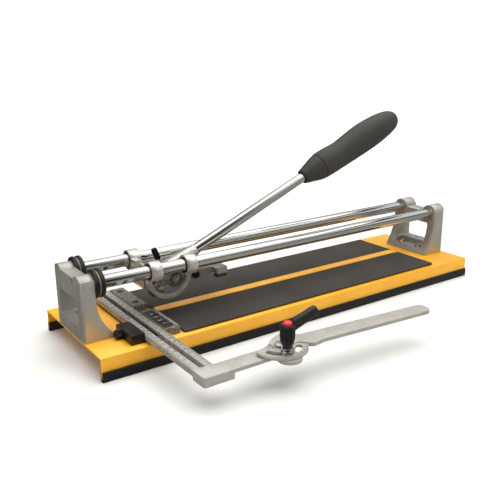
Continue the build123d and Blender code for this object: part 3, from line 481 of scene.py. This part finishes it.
crown_foot = add(bolt_tree, "ShaderNodeMath", {0: g["Head"], 1: 0.84}, operation="MULTIPLY")
crown_height = add(bolt_tree, "ShaderNodeMath", {0: g["Height"], 1: 0.16}, operation="MULTIPLY")
crown = add(bolt_tree, "GeometryNodeMeshCone", {
    "Vertices": 24, "Radius Top": crown_top.outputs["Value"], "Radius Bottom": crown_foot.outputs["Value"],
    "Depth": crown_height.outputs["Value"]})
crown_z = add(bolt_tree, "ShaderNodeMath", {0: g["Height"], 1: g["Flange Height"]}, operation="ADD")
crown_lift = add(bolt_tree, "ShaderNodeCombineXYZ", {"Z": crown_z.outputs["Value"]})
crown_up = add(bolt_tree, "GeometryNodeTransform", {
    "Geometry": crown.outputs["Mesh"], "Translation": crown_lift.outputs["Vector"]})
whole = add(bolt_tree, "GeometryNodeJoinGeometry", {"Geometry": seat.outputs["Mesh"]})
bolt_tree.links.new(head_up.outputs["Geometry"], whole.inputs["Geometry"])
bolt_tree.links.new(crown_up.outputs["Geometry"], whole.inputs["Geometry"])
bolts = add(bolt_tree, "GeometryNodeInstanceOnPoints", {
    "Points": g["Geometry"], "Instance": whole.outputs["Geometry"]})
close_tree(bolt_tree, g, bolts.outputs["Instances"])


# ---------------------------------------------------------------- turned and lofted pieces
def skin(rings, smooth=True):
    """A closed mesh through rings of points, its two ends capped."""
    bm = bmesh.new()
    rows = [[bm.verts.new(p) for p in ring] for ring in rings]
    for one, two in zip(rows, rows[1:]):
        for k in range(len(one)):
            j = (k + 1) % len(one)
            bm.faces.new((one[k], one[j], two[j], two[k]))
    bm.faces.new(list(reversed(rows[0])))
    bm.faces.new(rows[-1])
    bmesh.ops.recalc_face_normals(bm, faces=bm.faces)
    mesh = bpy.data.meshes.new("skin")
    bm.to_mesh(mesh)
    bm.free()
    for face in mesh.polygons:
        face.use_smooth = smooth
    mesh.set_sharp_from_angle(angle=radians(38))
    return mesh


def oval(centre, across, upward, half_width, half_height, steps=64, power=2.0):
    """Points of an oval about centre; a power over 2 squares it off."""
    ring = []
    for k in range(steps):
        a = 2 * pi * k / steps
        c = abs(cos(a)) ** (2 / power) * (1 if cos(a) >= 0 else -1)
        s = abs(sin(a)) ** (2 / power) * (1 if sin(a) >= 0 else -1)
        ring.append(centre + across * (half_width * c) + upward * (half_height * s))
    return ring


def curve_through(table, at):
    """Smooth value at a place in a table of (place, value), Catmull-Rom between rows."""
    for i in range(len(table) - 1):
        if at <= table[i + 1][0] or i == len(table) - 2:
            p0, v0 = table[max(i - 1, 0)]
            p1, v1 = table[i]
            p2, v2 = table[i + 1]
            p3, v3 = table[min(i + 2, len(table) - 1)]
            t = min(max((at - p1) / (p2 - p1), 0.0), 1.0)
            m1 = (v2 - v0) / max(p2 - p0, 1e-9) * (p2 - p1)
            m2 = (v3 - v1) / max(p3 - p1, 1e-9) * (p2 - p1)
            return ((2 * t ** 3 - 3 * t ** 2 + 1) * v1 + (t ** 3 - 2 * t ** 2 + t) * m1
                    + (3 * t ** 2 - 2 * t ** 3) * v2 + (t ** 3 - t ** 2) * m2)


# Where each hinge stands, in metres; a slide has no place of its own.
joint_at = {joint["name"]: Vector(joint["pos_m"]) for joint in frame["joints"] if joint["type"] == "hinge"}
lever_angle = radians(22.8)
rod_above_pivot = 7.0
grip_root = 210        # where the grip starts, in millimetres out along the rod
along_lever = Vector((cos(lever_angle), 0, sin(lever_angle)))
over_lever = Vector((-sin(lever_angle), 0, cos(lever_angle)))
sideways = Vector((0, 1, 0))
pivot = joint_at["lever_hinge"]
rod_line = pivot + over_lever * (rod_above_pivot * MM)


def on_rod(s, n=0.0, y=0.0):
    """A point s millimetres out along the rod's line, n above it and y to the rear."""
    return rod_line + along_lever * (s * MM) + over_lever * (n * MM) + sideways * (y * MM)


# Grip: a cone-shaped nose, a small step, then a long body with a waist on top and a straight belly.
# Each row is a place along the grip and a radius, or a height off the rod's line, in millimetres.
nose = [(0.0, 8.4), (0.5, 9.0), (3.0, 9.7), (12.0, 12.2), (22.0, 14.9), (27.0, 15.9), (28.0, 15.9),
        (28.6, 15.2)]
top_line = [(28.9, 15.2), (29.4, 15.8), (34, 16.1), (46, 15.8), (63, 14.5), (77, 15.4), (97, 17.1),
            (112, 17.6), (128, 16.8), (142, 15.3), (152, 13.5), (160, 11.0), (166, 7.2), (169, 3.2),
            (170, 0.6)]
belly_line = [(28.9, 17.0), (29.4, 17.7), (34, 18.1), (46, 18.8), (63, 19.3), (77, 19.7), (97, 20.0),
              (112, 20.2), (128, 19.7), (142, 18.6), (152, 17.3), (160, 15.5), (166, 12.4), (169, 9.0),
              (170, 6.4)]
grip_rings = []
for s, r in nose:
    sag = 1.1 * s / 28.0
    grip_rings.append(oval(on_rod(grip_root + s, -sag), sideways, over_lever,
                           r * MM * 0.93, (r + sag * 0.6) * MM, 72))
places = [28.9, 29.4] + [31 + 3 * k for k in range(44)] + [163, 165, 166.5, 168, 169, 169.6, 170]
for s in places:
    top = curve_through(top_line, s)
    belly = curve_through(belly_line, s)
    half = (top + belly) / 2
    grip_rings.append(oval(on_rod(grip_root + s, (top - belly) / 2), sideways, over_lever,
                           half * MM * 0.9, half * MM, 72, 2.12))
place_piece("grip", skin(grip_rings), grip_plastic, "lever", ("lever_grip",))

# Hanging slot near the grip's end: a small sunk oval eye with a raised lip.
eye_at, eye_height, eye_half_length, eye_half_width = grip_root + 146, 13.2, 4.6, 1.7
eye_rings = []
for lift_n, grow in ((-1.2, 0.9), (0.15, 1.0), (0.35, 0.92), (0.3, 0.7), (-0.6, 0.62), (-0.7, 0.05)):
    ring = []
    for k in range(32):
        a = 2 * pi * k / 32
        ring.append(on_rod(eye_at + eye_half_length * grow * cos(a), eye_height + lift_n,
                           eye_half_width * grow * sin(a)))
    eye_rings.append(ring)
place_piece("grip_eye", skin(eye_rings), black_acetal, "lever")

# Clamp lever: a fluted barrel, waisted at the foot, with a paddle that rises and widens to a blunt end.
clamp_axis = Vector((*joint_at["clamp_turn"].xy, 0))


def fluted(z, radius, depth, flutes=12, steps=96):
    """A ring of points with shallow hollows round it."""
    ring = []
    for k in range(steps):
        a = 2 * pi * k / steps
        r = radius - depth * (0.5 - 0.5 * cos(flutes * a)) ** 1.6
        ring.append(clamp_axis + Vector((r * cos(a), r * sin(a), z)) * MM)
    return ring


# Each row is a height, a radius and the depth of the hollows, in millimetres.
barrel = [(43.6, 3.1, 0), (43.6, 4.2, 0), (44.2, 4.5, 0), (46.5, 5.3, 0.1), (49.0, 6.4, 0.4),
          (52.0, 7.1, 0.7), (56.0, 7.3, 0.8), (61.0, 7.3, 0.8), (64.0, 7.3, 0.3), (65.4, 7.1, 0),
          (66.3, 6.3, 0), (66.3, 4.5, 0), (64.0, 4.5, 0), (64.0, 3.1, 0)]
barrel_mesh = skin([fluted(*row) for row in barrel])
place_piece("clamp_barrel", barrel_mesh, clamp_nylon, "clamp", ("clamp_lever",))
# Each row is a reach from the axis, a height, and half the paddle's height and width, in millimetres.
paddle = [(3.5, 61.5, 4.6, 3.0), (6.0, 63.8, 5.6, 3.6), (9.0, 65.3, 5.9, 3.8), (15.0, 67.0, 5.6, 3.8),
          (22.0, 69.2, 5.3, 3.9), (28.0, 71.2, 5.2, 4.0), (31.5, 72.3, 5.1, 4.0), (33.4, 72.9, 4.4, 3.5),
          (34.3, 73.2, 2.6, 2.0)]
paddle_tilt = radians(18)
paddle_rings = []
for x, z, tall, wide in paddle:
    upward = Vector((-sin(paddle_tilt), 0, cos(paddle_tilt)))
    centre = clamp_axis + Vector((x, 0, z)) * MM
    paddle_rings.append(oval(centre, sideways, upward, wide * MM, tall * MM, 48, 3.0))
place_piece("clamp_paddle", skin(paddle_rings), clamp_nylon, "clamp")

# Knurled screws: the one that locks the rod, and the one at the side of the guide.
knob = grown("rod_screw_knurl", knurl_tree, points_mesh([(0, 0, 0)]), black_oxide,
             {"Count": 16, "Radius": 3.35 * MM, "Height": 13.4 * MM, "Ridge": 0.55 * MM})
stand = Matrix((sideways, -along_lever, over_lever)).transposed().to_4x4()
screw_foot = pivot + along_lever * (-3.0 * MM)
knob.transform(Matrix.Translation(screw_foot + over_lever * (23.1 * MM)) @ stand)
place_piece("rod_screw_knob", knob, black_oxide, "lever", ("rod_screw",))
shank_radius = 2.6 * MM
shank_rings = [
    oval(screw_foot + over_lever * (n * MM), sideways, along_lever, shank_radius, shank_radius, 32)
    for n in (16.2, 17.0, 23.4)]
place_piece("rod_screw_shank", skin(shank_rings), zinc_plate, "lever")
thumb = grown("thumb_knurl", knurl_tree, points_mesh([(0, 0, 0)]), black_acetal,
              {"Count": 22, "Radius": 5.15 * MM, "Height": 6.8 * MM, "Ridge": 0.6 * MM})
lay_left = Matrix(((0, 0, -1, 0), (0, 1, 0, 0), (1, 0, 0, 0), (0, 0, 0, 1)))
thumb.transform(Matrix.Translation(joint_at["thumb_turn"] + Vector((-0.1, 0, 0)) * MM) @ lay_left)
place_piece("thumb_knob", thumb, black_acetal, "thumb", ("thumb_screw",))

# Flange bolts on the feet of the two brackets, each midway along the foot's open floor.
foot_top, bolt_offset = 32.0, 15
left_foot_middle = -270 + (35 + 11) / 2
right_foot_middle = 266 - (35 + 16) / 2
bolt_places = [Vector((x, side * bolt_offset, foot_top)) * MM
               for x in (left_foot_middle, right_foot_middle) for side in (-1, 1)]
bolt_mesh = grown("flange_bolts", bolt_tree, points_mesh(bolt_places), zinc_plate,
                  {"Head": 4.4 * MM, "Height": 2.7 * MM, "Flange": 5.0 * MM, "Flange Height": 0.8 * MM})
place_piece("flange_bolts", bolt_mesh, zinc_plate, "base", ("bracket_bolts",))

# Scales on the side ruler: ticks on both bars and a figure at every centimetre.
ruler_face = 33.5
scale_start = -158     # Y of the ruler scales' zero, at the corner
centimetre = 10
for name, x, flip in (("left", -218.0, 1), ("right", -196.5, -1)):
    ruler_ticks = grown(name + "_ticks", scale_tree, points_mesh([(0, 0, 0)]), dark_ink, {
        "Count": 112, "Pitch": 2.0 * MM, "Long Every": 5, "Short": 2.0 * MM, "Long": 3.6 * MM,
        "Width": 0.45 * MM, "Thickness": 0.12 * MM})
    ruler_ticks.transform(Matrix.Translation(Vector((x + flip * 0.5, scale_start, ruler_face)) * MM)
                          @ Matrix.Diagonal((flip, 1, 1, 1)))
    if flip < 0:
        ruler_ticks.flip_normals()
    place_piece(name + "_ruler_ticks", ruler_ticks, dark_ink, "ruler")


def figures_mesh(labels, height, thickness, place_of):
    """One mesh of flat figures; place_of gives each label's 4 by 4 placement."""
    bm = bmesh.new()
    for label in labels:
        text = bpy.data.curves.new("figure", "FONT")
        text.body = str(label)
        text.size = height * MM
        text.extrude = thickness * MM
        text.resolution_u = 2
        text.align_x = "CENTER"
        text.align_y = "CENTER"
        holder = bpy.data.objects.new("figure", text)
        bpy.context.scene.collection.objects.link(holder)
        mesh = settled(holder)
        mesh.transform(place_of(label))
        bm.from_mesh(mesh)
    joined = bpy.data.meshes.new("figures")
    bm.to_mesh(joined)
    bm.free()
    return joined


def on_ruler(x):
    """Placement of a centimetre figure on the ruler, read from the tile side."""
    def placed(label):
        spot = Vector((x, scale_start + centimetre * label, ruler_face)) * MM
        return Matrix.Translation(spot) @ Matrix.Rotation(radians(-90), 4, "Z")
    return placed


for name, x in (("left", -214.0 + 1.6), ("right", -200.5 - 1.4)):
    figures = figures_mesh(range(1, 22), 4.2, 0.06, on_ruler(x))
    place_piece(name + "_ruler_figures", figures, dark_ink, "ruler")

# Dark printed panel on the front fence, with a pale border, ticks and figures.
fence_face = 34.0
fence_zero = -63.2     # Y of the fence scale's zero


def plate(west, east, south, north, foot, top):
    """A flat rectangular plate with its sides on these values of X, Y and Z, in millimetres."""
    corners = ((west, south), (east, south), (east, north), (west, north))
    return skin([[Vector((x, y, z)) * MM for x, y in corners] for z in (foot, top)], smooth=False)


panel = plate(-194.8, -179.4, -64.5, -14, fence_face - 0.05, fence_face + 0.08)
place_piece("fence_panel", panel, fence_print, "base")
fence_ticks = grown("fence_ticks", scale_tree, points_mesh([(0, 0, 0)]), pale_ink, {
    "Count": 25, "Pitch": 2.0 * MM, "Long Every": 5, "Short": 2.4 * MM, "Long": 4.6 * MM,
    "Width": 0.5 * MM, "Thickness": 0.1 * MM})
fence_ticks.transform(Matrix.Translation(Vector((-180.2, fence_zero, fence_face + 0.1)) * MM)
                      @ Matrix.Diagonal((-1, 1, 1, 1)))
fence_ticks.flip_normals()
place_piece("fence_ticks", fence_ticks, pale_ink, "base")
border = plate(-179.9, -179.2, -64.5, -14, fence_face, fence_face + 0.14)
place_piece("fence_border", border, pale_ink, "base")


def on_fence(label):
    """Placement of a centimetre figure on the front fence."""
    spot = Vector((-189.0, fence_zero + centimetre * label, fence_face + 0.1)) * MM
    return Matrix.Translation(spot) @ Matrix.Rotation(radians(-90), 4, "Z")


place_piece("fence_figures", figures_mesh(range(1, 5), 6.5, 0.05, on_fence), pale_ink, "base")

# Degree scale on the rim of the angle arm's disc, a dark line at the hub's raised step that is painted
# shadow, and a dot beside it.
disc_centre = joint_at["angle_swing"] + Vector((0, 0, 3.0)) * MM
degree_ticks = grown("degree_ticks", arc_tree, points_mesh([(0, 0, 0)]), dark_ink, {
    "Count": 27, "Radius": 26.6 * MM, "From": radians(-155), "Step": radians(5), "Long Every": 3,
    "Short": 2.0 * MM, "Long": 3.6 * MM, "Width": 0.5 * MM, "Thickness": 0.12 * MM})
degree_ticks.transform(Matrix.Translation(disc_centre) @ Matrix.Rotation(radians(-5.5), 4, "Z"))
place_piece("degree_ticks", degree_ticks, dark_ink, "angle")
# Painted shadow: a thin dark strip standing for the shaded side wall of the hub's raised step.
hub_step_shadow = plate(-136.2, -135.2, -171.6, -165.0, 37.95, 38.08)
place_piece("painted_hub_step_shadow", hub_step_shadow, dark_ink, "angle")
dot_turns = [k * pi / 8 for k in range(16)]
dot_rings = [[Vector((-140.4 + 0.8 * cos(a), -170.4 + 0.8 * sin(a), z)) * MM for a in dot_turns]
             for z in (36.95, 37.08)]
place_piece("index_dot", skin(dot_rings), dark_ink, "angle")

# Lighter plates on the front and rear end faces of the breaker foot's wing.
for side, name in ((-1, "front"), (1, "rear")):
    ends = ((-99.6, 60.2), (-86.9, 60.2), (-86.9, 65.8), (-99.6, 65.8))
    end_rings = [[Vector((x, side * y, z)) * MM for x, z in ends] for y in (16.9, 17.35)]
    wing_end = skin(end_rings, smooth=False)
    place_piece("wing_end_" + name, wing_end, cast_aluminium, "breaker")

# ---------------------------------------------------------------- floor, light and camera
# Seamless paper sweep: matt white, with a painted glow that grows with distance so that only contact shadows
# read.
paper, tree, shader, place = surface("white_paper_sweep", Roughness=0.9, Specular_IOR_Level=0.1)
colour, grain = mottle(tree, place, 400, "#D8D8D5", "#DCDCD9")
tree.links.new(colour, shader.inputs["Base Color"])
# Painted light: the paper emits light, more the farther it lies from the middle, to wash out shadows.
away = add(tree, "ShaderNodeVectorMath", {"Vector": place}, operation="LENGTH")
lift = add(tree, "ShaderNodeMapRange", {
    "Value": away.outputs["Value"], "From Min": 0.35, "From Max": 2.2, "To Min": 0.0, "To Max": 0.6})
shader.inputs["Emission Color"].default_value = (1, 1, 1, 1)
tree.links.new(lift.outputs["Result"], shader.inputs["Emission Strength"])
sweep_half_width, sweep_bend, sweep_radius, sweep_height = 9.0, 3.0, 1.5, 5.0
bend = [(sweep_bend + sweep_radius * sin(radians(a)), sweep_radius - sweep_radius * cos(radians(a)))
        for a in range(10, 91, 10)]
sweep_profile = [(-14.0, 0.0), (sweep_bend, 0.0), *bend, (sweep_bend + sweep_radius, sweep_height)]
bm = bmesh.new()
for x in (-sweep_half_width, sweep_half_width):
    for y, z in sweep_profile:
        bm.verts.new((x, y, z))
bm.verts.ensure_lookup_table()
rows = len(sweep_profile)
for i in range(rows - 1):
    bm.faces.new([bm.verts[k] for k in (i, i + rows, i + rows + 1, i + 1)])
mesh = bpy.data.meshes.new("sweep")
bm.to_mesh(mesh)
bm.free()
mesh.transform(Matrix.Rotation(radians(-34.85), 4, "Z"))
mesh.materials.append(paper)
for face in mesh.polygons:
    face.use_smooth = True
sweep = bpy.data.objects.new("sweep", mesh)
bpy.context.scene.collection.objects.link(sweep)
sweep.visible_glossy = False

# Surroundings by height: grey low down, then dark and light bands that streak the bright metal, and
# white above.
# The left half of the room is dark, which draws the black streaks down the lever's rod.
world = bpy.data.worlds.new("studio")
bpy.context.scene.world = world
world.use_nodes = True
tree = world.node_tree
tree.nodes.clear()
direction = add(tree, "ShaderNodeTexCoord").outputs["Generated"]
height = add(tree, "ShaderNodeSeparateXYZ", {"Vector": direction}).outputs["Z"]
bands = add(tree, "ShaderNodeValToRGB", {"Fac": height})
bands.color_ramp.elements[0].position = 0.0
bands.color_ramp.elements[0].color = (0.32, 0.32, 0.31, 1)
bands.color_ramp.elements[1].position = 1.0
bands.color_ramp.elements[1].color = (1.6, 1.6, 1.6, 1)
for position, level in ((0.14, 0.32), (0.20, 0.06), (0.31, 0.06), (0.35, 0.7), (0.54, 0.85), (0.57, 0.05),
                        (0.61, 0.05), (0.64, 1.7)):
    stop = bands.color_ramp.elements.new(position)
    stop.color = (level, level, level * 0.98, 1)
side = add(tree, "ShaderNodeMapRange", {
    "Value": add(tree, "ShaderNodeSeparateXYZ", {"Vector": direction}).outputs["X"],
    "From Min": 0.14, "From Max": 0.34, "To Min": 0.1, "To Max": 1.0})
zenith = add(tree, "ShaderNodeMapRange", {"Value": height, "From Min": 0.86, "From Max": 0.88})
open_sky = add(tree, "ShaderNodeMath", {
    0: side.outputs["Result"], 1: zenith.outputs["Result"]}, operation="MAXIMUM")
shaded = add(tree, "ShaderNodeVectorMath", {
    0: bands.outputs["Color"], "Scale": open_sky.outputs["Value"]}, operation="SCALE")
glow = add(tree, "ShaderNodeBackground", {"Color": shaded.outputs["Vector"], "Strength": 1.0})
add(tree, "ShaderNodeOutputWorld", {"Surface": glow.outputs["Background"]})


def softbox(name, position, target, width, height, power, seen):
    """A soft rectangular light at position, aimed at target; seen says whether bright metal mirrors it."""
    light = bpy.data.lights.new(name, "AREA")
    light.shape = "RECTANGLE"
    light.size = width
    light.size_y = height
    light.energy = power
    holder = bpy.data.objects.new(name, light)
    holder.location = position
    holder.rotation_euler = (Vector(target) - Vector(position)).to_track_quat("-Z", "Y").to_euler()
    holder.visible_glossy = seen
    bpy.context.scene.collection.objects.link(holder)


softbox("overhead", (0.2, 0.1, 2.3), (0, 0, 0), 3.8, 2.8, 66, False)
softbox("left", (-2.2, -0.4, 0.8), (0, 0, 0.05), 1.2, 1.0, 13, True)
softbox("front", (0.7, -2.4, 1.1), (0, 0, 0.05), 1.6, 0.9, 16, False)

camera_data = bpy.data.cameras.new("camera")
camera_data.sensor_width = 36.0
camera_data.lens = 48.36
camera_data.clip_start = 0.01
camera_data.clip_end = 50
camera = bpy.data.objects.new("camera", camera_data)
camera_place = (-0.48506, -0.63563, 0.31308)
yaw, pitch, roll = 0.6082, 0.2994, -0.0057      # radians
ahead = Vector((sin(yaw) * cos(pitch), cos(yaw) * cos(pitch), -sin(pitch)))
right = Vector((cos(yaw), -sin(yaw), 0))
up = right.cross(ahead)
across = right * cos(roll) + up * sin(roll)
above = up * cos(roll) - right * sin(roll)
turned = Matrix((across, above, -ahead)).transposed().to_4x4()
camera.matrix_world = Matrix.Translation(camera_place) @ turned
bpy.context.scene.collection.objects.link(camera)
bpy.context.scene.camera = camera
bpy.context.scene.view_settings.view_transform = "Standard"
